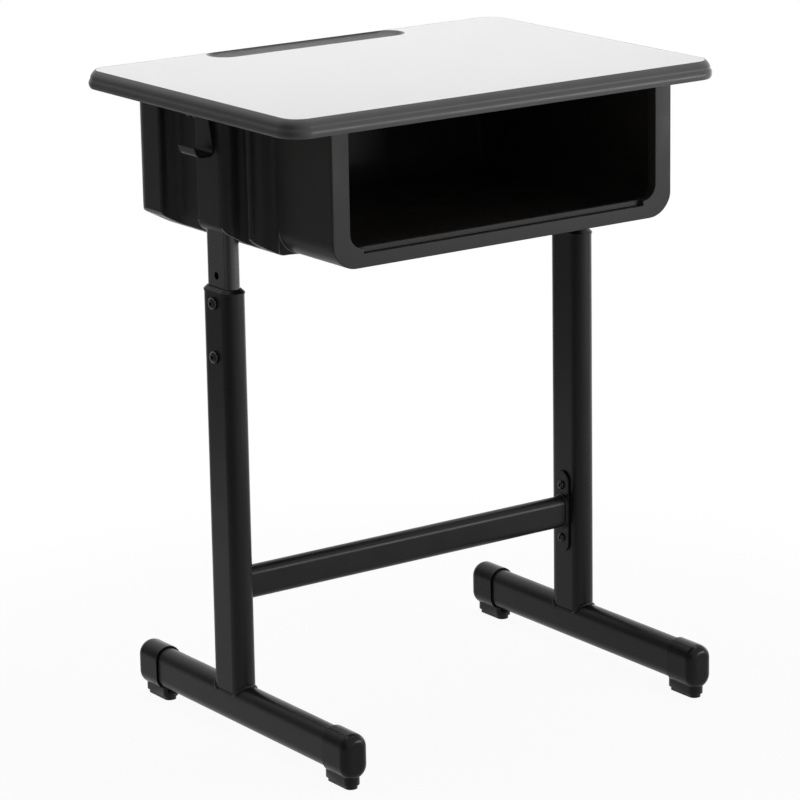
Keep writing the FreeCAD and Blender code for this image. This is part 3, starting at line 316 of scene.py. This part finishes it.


def plainMesh(made):
    # the evaluated mesh takes the place of the modifiers
    bpy.context.view_layer.update()
    depsgraph = bpy.context.evaluated_depsgraph_get()
    mesh = bpy.data.meshes.new_from_object(made.evaluated_get(depsgraph), preserve_all_data_layers=True,
                                           depsgraph=depsgraph)
    made.modifiers.clear()
    made.data = mesh
    mesh.name = made.name
    return made


def seat(made, body, node=None):
    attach(made, body)
    if node:
        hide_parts(node)


def mergedCopy(node):
    shell = bmesh.new()
    shell.from_mesh(cadNodes[node].data)
    bmesh.ops.remove_doubles(shell, verts=shell.verts, dist=bareSkin["mergeMm"] * mm)
    return shell


def newPiece(name, shell, finishNames):
    mesh = bpy.data.meshes.new(name)
    shell.to_mesh(mesh)
    shell.free()
    for finish in finishNames:
        mesh.materials.append(finishes[finish])
    return link(name, mesh)


def markEdges(shell, topFreeMm):
    # edges to be rounded: sharp ones, but none that meets a knife edge or lies close to the piece's top
    ceiling = max(vertex.co.z for vertex in shell.verts) - topFreeMm * mm if topFreeMm else math.inf
    weight = shell.edges.layers.float.new("bevel_weight_edge")
    turn = {edge: math.degrees(edge.calc_face_angle(0)) for edge in shell.edges}
    for edge in shell.edges:
        keen = max(turn[other] for vertex in edge.verts for other in vertex.link_edges)
        lowest = min(vertex.co.z for vertex in edge.verts)
        if turn[edge] > bareSkin["edgeDegrees"] and keen < bareSkin["keenDegrees"] and lowest < ceiling:
            edge[weight] = 1.0


def roundEdges(made, roundMm, paintedHighlight):
    # the rounded strips take the piece's second finish, a painted highlight, where it has one
    rounding = made.modifiers.new("edges", "BEVEL")
    rounding.width = roundMm * mm
    rounding.segments = bareSkin["segments"]
    rounding.limit_method = "WEIGHT"
    rounding.use_clamp_overlap = False
    rounding.loop_slide = False
    rounding.material = 1 if paintedHighlight else -1
    plainMesh(made)


def rubRidges(mesh):
    # the painted highlight stays only on the outer ridges of the sides, behind the front rim
    for face in mesh.polygons:
        outer = face.normal.x * face.center.x > 0
        if not (outer and ridgeHighlightSpan["frontMm"] < face.center.y / mm < ridgeHighlightSpan["backMm"]):
            face.material_index = 0


def evenNormals(made, sharpDegrees):
    # large faces lead the shading, so that flats stay flat beside rounded edges
    made.data.shade_smooth()
    made.data.set_sharp_from_angle(angle=math.radians(sharpDegrees))
    weights = made.modifiers.new("normals", "WEIGHTED_NORMAL")
    weights.mode = "FACE_AREA"
    weights.keep_sharp = True
    return plainMesh(made)


def dressed(name, node, finish, slot, roundMm, highlightFinish=None, topFreeMm=0):
    # copy of a CAD node; where edges are rounded, its flat faces are joined and divided afresh first
    shell = mergedCopy(node)
    if roundMm:
        bmesh.ops.dissolve_limit(shell, angle_limit=math.radians(bareSkin["flatDegrees"]), verts=shell.verts,
                                 edges=shell.edges)
        bmesh.ops.triangulate(shell, faces=[face for face in shell.faces if len(face.verts) > 4])
        markEdges(shell, topFreeMm)
    made = newPiece(name, shell, [finish, highlightFinish] if highlightFinish else [finish])
    if roundMm:
        roundEdges(made, roundMm, highlightFinish)
    if highlightFinish:
        rubRidges(made.data)
    evenNormals(made, bareSkin["edgeDegrees"] + bareSkin["edgeSlack"])
    seat(made, bodyOf[node], node)


plainPieces = {
    "laminate_sheet": {"node": "laminate", "finish": "laminate", "slot": "grey_laminate", "roundMm": 0},
    "core_panel": {"node": "core_board", "finish": "board", "slot": "core_wood", "roundMm": 0},
    # the box's rounded ridge edges take a paler finish: a painted highlight
    "moulded_book_box": {"node": "book_box", "finish": "box", "slot": "book_box_plastic", "roundMm": 0.9,
                         "highlightFinish": "boxRidgeHighlight", "topFreeMm": 12},
    "crossbar_tube": {"node": "crossbar", "finish": "frame", "slot": "black_frame", "roundMm": 0.3},
    "rivet_nuts": {"node": "crossbar_nuts", "finish": "zinc", "slot": "plain_steel", "roundMm": 0},
}
coatedRoundMm = {"column": 0, "upper_tube": 0.3, "foot": 0.3, "crossbar_plate": 0.5, "weld_plate": 0.4,
                 "bag_hook": 0.7}
for side in ("left", "right"):
    for part, roundMm in coatedRoundMm.items():
        plainPieces["%s_coated_%s" % (side, part)] = {
            "node": "%s_%s" % (side, part), "finish": "tube" if part == "upper_tube" else "frame",
            "slot": "black_frame", "roundMm": roundMm}
    plainPieces.update({
        side + "_collar_bush": {"node": side + "_collar", "finish": "bush", "slot": "bush_plastic",
                                "roundMm": 0.5},
        side + "_guide_shoe": {"node": side + "_tube_guide", "finish": "bush", "slot": "bush_plastic",
                               "roundMm": 0.4},
        side + "_nut_strip": {"node": side + "_nut_plate", "finish": "zinc", "slot": "plain_steel",
                              "roundMm": 0.3},
    })
    for end in ("front", "back"):
        plainPieces["%s_%s_foot_cap" % (side, end)] = {
            "node": "%s_%s_cap" % (side, end), "finish": "cap", "slot": "foot_cap_plastic", "roundMm": 0}
for name, spec in plainPieces.items():
    dressed(name, **spec)
print("pieces dressed:", len(plainPieces))


# Edging, with two soft beads moulded into its outer side

edgeBead = {
    "cornerMm": 30,     # radius of the outline's corners
    "slopeHighMm": 10,  # height of the sloping band at the top of the side
    "slopeInMm": 8,     # how far the band's upper line stands inside the outline
    "skinMm": 8.4,      # points less far inside the outline than this belong to the side
    "rows": 7,          # for each of the two beads
    "upperMm": 1.5,     # swell of the bead on the band
    "lowerMm": 2.0,     # swell of the bead below it
    "creaseDegrees": 17,
}


def beadOffset(downMm, highMm):
    # how far the side stands inside its outermost line, this far below the top
    slope, inset = edgeBead["slopeHighMm"], edgeBead["slopeInMm"]
    if downMm < slope:
        share = downMm / slope
        return inset + (edgeBead["lowerMm"] - inset) * share - 4 * edgeBead["upperMm"] * share * (1 - share)
    share = (downMm - slope) / (highMm - slope)
    return edgeBead["lowerMm"] * (2 * share - 1) ** 2


def beadedEdging():
    low, high = (Vector(corner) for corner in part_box("edging"))
    middle, half = (low + high) / 2, (high - low) / 2
    corner = edgeBead["cornerMm"] * mm
    highMm = (high.z - low.z) / mm
    slope = edgeBead["slopeHighMm"]
    shell = mergedCopy("edging")
    # the side is cut into rows, which then move in or out to the beads
    for start, tall in ((0, slope), (slope, highMm - slope)):
        for row in range(1, edgeBead["rows"]):
            height = high.z - (start + tall * row / edgeBead["rows"]) * mm
            bmesh.ops.bisect_plane(shell, geom=shell.verts[:] + shell.edges[:] + shell.faces[:],
                                   plane_co=(0, 0, height), plane_no=(0, 0, 1))
    for vertex in shell.verts:
        out = [max(abs(vertex.co[i] - middle[i]) - half[i] + corner, 0) for i in (0, 1)]
        reach = math.hypot(*out)
        if corner - reach < edgeBead["skinMm"] * mm:
            wanted = corner - beadOffset((high.z - vertex.co.z) / mm, highMm) * mm
            for i in (0, 1):
                vertex.co[i] += (wanted / reach - 1) * math.copysign(out[i], vertex.co[i] - middle[i])
    made = evenNormals(newPiece("moulded_edging", shell, ["edging"]), edgeBead["creaseDegrees"])
    seat(made, bodyOf["edging"], "edging")


beadedEdging()
print("edging moulded")


# Bolts and screws with a domed head and a hexagon socket

headShape = {
    "segments": 36,
    # from the shank's end up over the head and down into its socket: shares of the radii of head, shank and
    # socket, then shares of the head's height, the shank's length and the socket's depth
    "rowShares": [((0, 0, 0), (0, -1, 0)), ((0, 0.84, 0), (0, -1, 0)), ((0, 1, 0), (0, -0.92, 0)),
                  ((0, 1, 0), (0, 0, 0)), ((0.96, 0, 0), (0, 0, 0)), ((1, 0, 0), (0.1, 0, 0)),
                  ((1, 0, 0), (0.28, 0, 0)), ((0.95, 0, 0), (0.56, 0, 0)), ((0.84, 0, 0), (0.8, 0, 0)),
                  ((0.71, 0, 0), (0.95, 0, 0)), ((0.58, 0, 0), (1, 0, 0)), ((0, 0, 1.12), (1, 0, 0)),
                  ((0, 0, 1), (0.94, 0, 0)), ((0, 0, 1), (1, 0, -0.92)), ((0, 0, 0.9), (1, 0, -1)),
                  ((0, 0, 0), (1, 0, -1))],
    "sizes": ["Head Radius", "Shank Radius", "Socket Radius", "Head Height", "Shank Length", "Socket Depth"],
    "mergeMm": 0.005,
    "creaseDegrees": 40,
}


def profileSum(tree, row, shares, sizes):
    # three sizes, each times its share in this row of the profile, added up
    chosen = addNode(tree, "GeometryNodeIndexSwitch", data_type="VECTOR")
    while len(chosen.index_switch_items) < len(shares):
        chosen.index_switch_items.new()
    tree.links.new(row, chosen.inputs["Index"])
    for number, share in enumerate(shares):
        chosen.inputs[str(number)].default_value = share
    three = addNode(tree, "ShaderNodeCombineXYZ", dict(enumerate(sizes)))
    return addNode(tree, "ShaderNodeVectorMath", {0: chosen.outputs[0], 1: three.outputs[0]},
                   operation="DOT_PRODUCT").outputs["Value"]


def fastenerTree():
    tree = bpy.data.node_groups.new("socket_head_fastener", "GeometryNodeTree")
    tree.interface.new_socket("Places", in_out="INPUT", socket_type="NodeSocketGeometry")
    for name in headShape["sizes"]:
        tree.interface.new_socket(name, in_out="INPUT", socket_type="NodeSocketFloat")
    tree.interface.new_socket("Finish", in_out="INPUT", socket_type="NodeSocketMaterial")
    tree.interface.new_socket("Mesh", in_out="OUTPUT", socket_type="NodeSocketGeometry")
    given = addNode(tree, "NodeGroupInput").outputs
    # a grid with one row for each point of the profile is turned round the axis
    rows, around = len(headShape["rowShares"]), headShape["segments"] + 1
    grid = addNode(tree, "GeometryNodeMeshGrid", {"Vertices X": rows, "Vertices Y": around})
    index = addNode(tree, "GeometryNodeInputIndex").outputs[0]
    row = addNode(tree, "FunctionNodeIntegerMath", {0: index, 1: around}, operation="DIVIDE_FLOOR").outputs[0]
    column = addNode(tree, "FunctionNodeIntegerMath", {0: index, 1: around}, operation="MODULO").outputs[0]
    angle = addNode(tree, "ShaderNodeMath", {0: column, 1: 2 * math.pi / headShape["segments"]},
                    operation="MULTIPLY").outputs[0]
    # the socket's radius follows the hexagon's sides
    sixth = addNode(tree, "ShaderNodeMath", {0: angle, 1: math.pi / 3}, operation="FLOORED_MODULO").outputs[0]
    offMiddle = addNode(tree, "ShaderNodeMath", {0: sixth, 1: math.pi / 6}, operation="SUBTRACT").outputs[0]
    lean = addNode(tree, "ShaderNodeMath", {0: offMiddle}, operation="COSINE").outputs[0]
    flat = addNode(tree, "ShaderNodeMath", {0: given["Socket Radius"], 1: math.cos(math.pi / 6)},
                   operation="MULTIPLY").outputs[0]
    hexagon = addNode(tree, "ShaderNodeMath", {0: flat, 1: lean}, operation="DIVIDE").outputs[0]
    radius = profileSum(tree, row, [radii for radii, heights in headShape["rowShares"]],
                        (given["Head Radius"], given["Shank Radius"], hexagon))
    height = profileSum(tree, row, [heights for radii, heights in headShape["rowShares"]],
                        (given["Head Height"], given["Shank Length"], given["Socket Depth"]))
    across = []
    for way in ("COSINE", "SINE"):
        part = addNode(tree, "ShaderNodeMath", {0: angle}, operation=way).outputs[0]
        across.append(addNode(tree, "ShaderNodeMath", {0: part, 1: radius}, operation="MULTIPLY").outputs[0])
    place = addNode(tree, "ShaderNodeCombineXYZ", {0: across[0], 1: across[1], 2: height})
    turned = addNode(tree, "GeometryNodeSetPosition", {
        "Geometry": grid.outputs["Mesh"], "Position": place.outputs[0]})
    closed = addNode(tree, "GeometryNodeMergeByDistance", {
        "Geometry": turned.outputs[0], "Distance": headShape["mergeMm"] * mm})
    # one fastener at each place, its head facing the way that is stored there
    facing = addNode(tree, "GeometryNodeInputNamedAttribute", {"Name": "facing"}, data_type="FLOAT_VECTOR")
    turn = addNode(tree, "FunctionNodeAlignRotationToVector", {"Vector": facing.outputs["Attribute"]},
                   axis="Z")
    placed = addNode(tree, "GeometryNodeInstanceOnPoints", {
        "Points": given["Places"], "Instance": closed.outputs[0], "Rotation": turn.outputs[0]})
    real = addNode(tree, "GeometryNodeRealizeInstances", {"Geometry": placed.outputs[0]})
    coated = addNode(tree, "GeometryNodeSetMaterial", {
        "Geometry": real.outputs[0], "Material": given["Finish"]})
    addNode(tree, "NodeGroupOutput", {"Mesh": coated.outputs[0]})
    return tree


def runTree(made, tree, values):
    # sizes go in by socket identifier before the first evaluation
    modifier = made.modifiers.new("shape", "NODES")
    modifier.node_group = tree
    for item in tree.interface.items_tree:
        if item.in_out == "INPUT" and item.name in values:
            modifier[item.identifier] = values[item.name]
    return plainMesh(made)


def faceOutwards(mesh, sharpDegrees):
    shell = bmesh.new()
    shell.from_mesh(mesh)
    bmesh.ops.recalc_face_normals(shell, faces=shell.faces)
    shell.to_mesh(mesh)
    shell.free()
    mesh.shade_smooth()
    mesh.set_sharp_from_angle(angle=math.radians(sharpDegrees))


def solidBoxes(node):
    # lowest and highest corner of each separate solid of a node
    shell = mergedCopy(node)
    waiting = set(shell.verts)
    boxes = []
    while waiting:
        reached = [waiting.pop()]
        for vertex in reached:
            for edge in vertex.link_edges:
                other = edge.other_vert(vertex)
                if other in waiting:
                    waiting.discard(other)
                    reached.append(other)
        boxes.append((Vector([min(v.co[i] for v in reached) for i in range(3)]),
                      Vector([max(v.co[i] for v in reached) for i in range(3)])))
    shell.free()
    return sorted(boxes, key=lambda box: tuple(box[0]))


def headFacing(way, middle):
    outward = Vector((math.copysign(1, middle.x), 0, 0))
    return {"outward": outward, "inward": -outward, "down": Vector((0, 0, -1))}[way]


lockScrew = {"facing": "outward", "headMm": 15, "headHighMm": 4.5, "shankMm": 8,
             "socketMm": 5, "socketDeepMm": 2.6}
barBolt = {"facing": "inward", "headMm": 11, "headHighMm": 3.3, "shankMm": 6,
           "socketMm": 4, "socketDeepMm": 2}
woodScrew = {"facing": "down", "headMm": 9, "headHighMm": 3, "shankMm": 4.5,
             "socketMm": 3.6, "socketDeepMm": 1.4}
fasteners = {"crossbar_bolt_heads": ("crossbar_bolts", barBolt),
             "weld_plate_screws": ("plate_screws", woodScrew),
             "box_tab_screws": ("box_screws", woodScrew),
             "hook_flange_screws": ("hook_screws", woodScrew)}
for side in ("left", "right"):
    for height in ("upper", "lower"):
        fasteners["%s_%s_lock_screw" % (side, height)] = ("%s_%s_lock_bolt" % (side, height), lockScrew)


def driveFasteners(name, tree, node, kind):
    # all solids of a node are alike, so they share one length
    places, facings = [], []
    for low, high in solidBoxes(node):
        middle = (low + high) / 2
        facing = headFacing(kind["facing"], middle)
        reach = abs((high - low).dot(facing)) / 2
        places.append(middle + facing * (reach - kind["headHighMm"] * mm))
        facings.append(facing)
    mesh = bpy.data.meshes.new(name)
    mesh.from_pydata(places, [], [])
    facingData = mesh.attributes.new("facing", "FLOAT_VECTOR", "POINT")
    facingData.data.foreach_set("vector", [c for facing in facings for c in facing])
    made = runTree(link(name, mesh), tree, {
        "Head Radius": kind["headMm"] / 2 * mm, "Head Height": kind["headHighMm"] * mm,
        "Shank Radius": kind["shankMm"] / 2 * mm, "Shank Length": 2 * reach - kind["headHighMm"] * mm,
        "Socket Radius": kind["socketMm"] / 2 * mm, "Socket Depth": kind["socketDeepMm"] * mm,
        "Finish": finishes["bolt"]})
    faceOutwards(made.data, headShape["creaseDegrees"])
    seat(made, bodyOf[node], node)


headTree = fastenerTree()
for name, (node, kind) in fasteners.items():
    driveFasteners(name, headTree, node, kind)
print("bolts and screws driven:", len(fasteners))


# Weld beads, run along the joints of the tubes

bead = {"radiusMm": 2.6, "sides": 14, "stepMm": 0.7, "rippleMm": 3.6, "rippleShare": 0.05,
        # an open run is this share as thick at its ends, and whole where the share of it that is behind
        # times the share that is left comes to more than wholeShare
        "endShare": 0.3, "wholeShare": 0.1,
        # how far a saddle goes each way round the column's end, and the steps of each path
        "saddleDegrees": 82, "saddleSteps": 24, "ovalSteps": 16,
        "creaseDegrees": 60}


def weldTree():
    tree = bpy.data.node_groups.new("weld_bead", "GeometryNodeTree")
    tree.interface.new_socket("Path", in_out="INPUT", socket_type="NodeSocketGeometry")
    for name in ("Bead Radius", "Step", "Ripple Length", "Ripple Share", "End Taper"):
        tree.interface.new_socket(name, in_out="INPUT", socket_type="NodeSocketFloat")
    tree.interface.new_socket("Finish", in_out="INPUT", socket_type="NodeSocketMaterial")
    tree.interface.new_socket("Mesh", in_out="OUTPUT", socket_type="NodeSocketGeometry")
    given = addNode(tree, "NodeGroupInput").outputs
    path = addNode(tree, "GeometryNodeMeshToCurve", {"Mesh": given["Path"]})
    even = addNode(tree, "GeometryNodeResampleCurve", {"Curve": path.outputs[0], "Length": given["Step"]},
                   mode="LENGTH")
    along = addNode(tree, "GeometryNodeSplineParameter").outputs
    waves = addNode(tree, "ShaderNodeMath", {0: along["Length"], 1: given["Ripple Length"]},
                    operation="DIVIDE")
    turns = addNode(tree, "ShaderNodeMath", {0: waves.outputs[0], 1: 2 * math.pi}, operation="MULTIPLY")
    wave = addNode(tree, "ShaderNodeMath", {0: turns.outputs[0]}, operation="SINE")
    ripple = addNode(tree, "ShaderNodeMath", {0: wave.outputs[0], 1: given["Ripple Share"], 2: 1.0},
                     operation="MULTIPLY_ADD")
    # open runs thin out towards both ends
    left = addNode(tree, "ShaderNodeMath", {0: 1.0, 1: along["Factor"]}, operation="SUBTRACT")
    middle = addNode(tree, "ShaderNodeMath", {0: along["Factor"], 1: left.outputs[0]}, operation="MULTIPLY")
    swell = addNode(tree, "ShaderNodeMapRange", {
        "Value": middle.outputs[0], "From Min": 0.0, "From Max": bead["wholeShare"],
        "To Min": given["End Taper"], "To Max": 1.0}, interpolation_type="SMOOTHSTEP")
    thick = addNode(tree, "ShaderNodeMath", {0: ripple.outputs[0], 1: swell.outputs[0]}, operation="MULTIPLY")
    ring = addNode(tree, "GeometryNodeCurvePrimitiveCircle", {
        "Resolution": bead["sides"], "Radius": given["Bead Radius"]})
    swept = addNode(tree, "GeometryNodeCurveToMesh", {
        "Curve": even.outputs[0], "Profile Curve": ring.outputs[0], "Scale": thick.outputs[0],
        "Fill Caps": True})
    real = addNode(tree, "GeometryNodeRealizeInstances", {"Geometry": swept.outputs[0]})
    coated = addNode(tree, "GeometryNodeSetMaterial", {
        "Geometry": real.outputs[0], "Material": given["Finish"]})
    addNode(tree, "NodeGroupOutput", {"Mesh": coated.outputs[0]})
    return tree


def weld(name, tree, runs, closed, body):
    points, edges = [], []
    for run in runs:
        first = len(points)
        points += run
        edges += [(first + n, first + n + 1) for n in range(len(run) - 1)]
        if closed:
            edges.append((first + len(run) - 1, first))
    mesh = bpy.data.meshes.new(name)
    mesh.from_pydata(points, edges, [])
    made = runTree(link(name, mesh), tree, {
        "Bead Radius": bead["radiusMm"] * mm, "Step": bead["stepMm"] * mm,
        "Ripple Length": bead["rippleMm"] * mm, "Ripple Share": bead["rippleShare"],
        "End Taper": 1.0 if closed else bead["endShare"], "Finish": finishes["frame"]})
    faceOutwards(made.data, bead["creaseDegrees"])
    seat(made, body)


def saddleRuns(side):
    # round front and back ends of the column, where they stand on the round top of the foot
    low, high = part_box(side + "_column")
    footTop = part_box(side + "_foot")[1][2]
    radius = (high[0] - low[0]) / 2
    centre = (low[0] + high[0]) / 2
    runs = []
    for way, end in ((-1, low[1]), (1, high[1])):
        hub = end - way * radius
        run = []
        for n in range(bead["saddleSteps"] + 1):
            turn = math.radians(bead["saddleDegrees"] * (2 * n / bead["saddleSteps"] - 1))
            x = radius * math.sin(turn)
            rise = math.sqrt(radius * radius - x * x)
            run.append((centre + x, hub + way * radius * math.cos(turn), footTop - radius + rise))
        runs.append(run)
    return runs


def ovalRun(x, low, high):
    # flat-oval outline of the crossbar at this x
    radius = (high[1] - low[1]) / 2
    y = (low[1] + high[1]) / 2
    run = []
    for hub, start in ((high[2] - radius, 0), (low[2] + radius, math.pi)):
        for n in range(bead["ovalSteps"] + 1):
            turn = start + math.pi * n / bead["ovalSteps"]
            run.append((x, y + radius * math.cos(turn), hub + radius * math.sin(turn)))
    return run


beadTree = weldTree()
barLow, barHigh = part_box("crossbar")
for side, x in (("left", barLow[0]), ("right", barHigh[0])):
    weld(side + "_saddle_weld", beadTree, saddleRuns(side), closed=False, body="base")
    weld(side + "_crossbar_weld", beadTree, [ovalRun(x, barLow, barHigh)], closed=True, body="base")
print("welds run")
